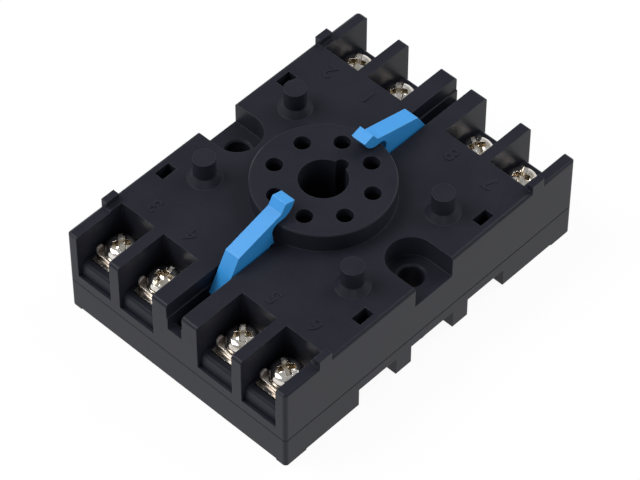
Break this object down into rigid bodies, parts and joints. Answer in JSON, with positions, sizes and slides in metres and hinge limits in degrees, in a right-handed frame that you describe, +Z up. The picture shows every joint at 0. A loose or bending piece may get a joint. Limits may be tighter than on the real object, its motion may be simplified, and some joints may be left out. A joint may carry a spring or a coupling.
{
  "type": "relay socket",
  "caption": "Flat octal relay socket with a round pin boss, screw terminals in open bays at both ends, ejector levers, mounting holes and a rail channel.",
  "frame": {"origin": "middle of the footprint, on the surface that the corner pads stand on", "axes": "+X across the width, +Y along the length towards the latch, +Z up out of the boss"},
  "size_m": [0.05, 0.07, 0.0258],
  "materials": {
    "body": "satin, fine moulded grain",
    "lever": "satin",
    "plated": "bright nickel plating",
    "contact": "tin-plated spring bronze",
    "spring": "drawn wire"
  },
  "bodies": {
    "socket": {"housing": "body", "base": "body", "terminal_1": "plated", "terminal_2": "plated", "terminal_3": "plated", "terminal_4": "plated", "terminal_5": "plated", "terminal_6": "plated", "terminal_7": "plated", "terminal_8": "plated", "contact_1": "contact", "contact_2": "contact", "contact_3": "contact", "contact_4": "contact", "contact_5": "contact", "contact_6": "contact", "contact_7": "contact", "contact_8": "contact"},
    "washers_1": {"clamp_washer_1": "plated", "spring_washer_1": "plated"},
    "screw_1": {"terminal_screw_1": "plated"},
    "washers_2": {"clamp_washer_2": "plated", "spring_washer_2": "plated"},
    "screw_2": {"terminal_screw_2": "plated"},
    "washers_3": {"clamp_washer_3": "plated", "spring_washer_3": "plated"},
    "screw_3": {"terminal_screw_3": "plated"},
    "washers_4": {"clamp_washer_4": "plated", "spring_washer_4": "plated"},
    "screw_4": {"terminal_screw_4": "plated"},
    "washers_5": {"clamp_washer_5": "plated", "spring_washer_5": "plated"},
    "screw_5": {"terminal_screw_5": "plated"},
    "washers_6": {"clamp_washer_6": "plated", "spring_washer_6": "plated"},
    "screw_6": {"terminal_screw_6": "plated"},
    "washers_7": {"clamp_washer_7": "plated", "spring_washer_7": "plated"},
    "screw_7": {"terminal_screw_7": "plated"},
    "washers_8": {"clamp_washer_8": "plated", "spring_washer_8": "plated"},
    "screw_8": {"terminal_screw_8": "plated"},
    "lever_rear": {"lever_rear": "lever"},
    "lever_front": {"lever_front": "lever"},
    "rail_latch": {"rail_latch": "body", "latch_spring": "spring"}
  },
  "joints": [
    {"name": "washer_lift_1", "type": "slide", "parent": "socket", "child": "washers_1", "axis": [0, 0, 1], "range_m": [0, 0.003]},
    {"name": "screw_turn_1", "type": "hinge", "parent": "washers_1", "child": "screw_1", "pos_m": [-0.00905, 0.0284, 0.0132], "axis": [0, 0, 1], "range_deg": [0, 1800]},
    {"name": "washer_lift_2", "type": "slide", "parent": "socket", "child": "washers_2", "axis": [0, 0, 1], "range_m": [0, 0.003]},
    {"name": "screw_turn_2", "type": "hinge", "parent": "washers_2", "child": "screw_2", "pos_m": [-0.01897, 0.0284, 0.0132], "axis": [0, 0, 1], "range_deg": [0, 1800]},
    {"name": "washer_lift_3", "type": "slide", "parent": "socket", "child": "washers_3", "axis": [0, 0, 1], "range_m": [0, 0.003]},
    {"name": "screw_turn_3", "type": "hinge", "parent": "washers_3", "child": "screw_3", "pos_m": [0.00905, 0.0284, 0.0132], "axis": [0, 0, 1], "range_deg": [0, 1800]},
    {"name": "washer_lift_4", "type": "slide", "parent": "socket", "child": "washers_4", "axis": [0, 0, 1], "range_m": [0, 0.003]},
    {"name": "screw_turn_4", "type": "hinge", "parent": "washers_4", "child": "screw_4", "pos_m": [0.01897, 0.0284, 0.0132], "axis": [0, 0, 1], "range_deg": [0, 1800]},
    {"name": "washer_lift_5", "type": "slide", "parent": "socket", "child": "washers_5", "axis": [0, 0, 1], "range_m": [0, 0.003]},
    {"name": "screw_turn_5", "type": "hinge", "parent": "washers_5", "child": "screw_5", "pos_m": [0.00905, -0.0284, 0.0132], "axis": [0, 0, 1], "range_deg": [0, 1800]},
    {"name": "washer_lift_6", "type": "slide", "parent": "socket", "child": "washers_6", "axis": [0, 0, 1], "range_m": [0, 0.003]},
    {"name": "screw_turn_6", "type": "hinge", "parent": "washers_6", "child": "screw_6", "pos_m": [0.01897, -0.0284, 0.0132], "axis": [0, 0, 1], "range_deg": [0, 1800]},
    {"name": "washer_lift_7", "type": "slide", "parent": "socket", "child": "washers_7", "axis": [0, 0, 1], "range_m": [0, 0.003]},
    {"name": "screw_turn_7", "type": "hinge", "parent": "washers_7", "child": "screw_7", "pos_m": [-0.00905, -0.0284, 0.0132], "axis": [0, 0, 1], "range_deg": [0, 1800]},
    {"name": "washer_lift_8", "type": "slide", "parent": "socket", "child": "washers_8", "axis": [0, 0, 1], "range_m": [0, 0.003]},
    {"name": "screw_turn_8", "type": "hinge", "parent": "washers_8", "child": "screw_8", "pos_m": [-0.01897, -0.0284, 0.0132], "axis": [0, 0, 1], "range_deg": [0, 1800]},
    {"name": "lever_rear_pivot", "type": "hinge", "parent": "socket", "child": "lever_rear", "pos_m": [0, 0.019, 0.015], "axis": [-1, 0, 0], "range_deg": [0, 28]},
    {"name": "lever_front_pivot", "type": "hinge", "parent": "socket", "child": "lever_front", "pos_m": [0, -0.019, 0.015], "axis": [1, 0, 0], "range_deg": [0, 28]},
    {"name": "latch_slide", "type": "slide", "parent": "socket", "child": "rail_latch", "axis": [0, 1, 0], "range_m": [0, 0.002], "stiffness_N_per_m": 400, "springref_m": -0.002, "deforming": ["latch_spring"]}
  ],
  "couplings": [
    {"joint": "screw_turn_1", "follows": "washer_lift_1", "rad_per_m": 10472},
    {"joint": "screw_turn_2", "follows": "washer_lift_2", "rad_per_m": 10472},
    {"joint": "screw_turn_3", "follows": "washer_lift_3", "rad_per_m": 10472},
    {"joint": "screw_turn_4", "follows": "washer_lift_4", "rad_per_m": 10472},
    {"joint": "screw_turn_5", "follows": "washer_lift_5", "rad_per_m": 10472},
    {"joint": "screw_turn_6", "follows": "washer_lift_6", "rad_per_m": 10472},
    {"joint": "screw_turn_7", "follows": "washer_lift_7", "rad_per_m": 10472},
    {"joint": "screw_turn_8", "follows": "washer_lift_8", "rad_per_m": 10472}
  ]
}
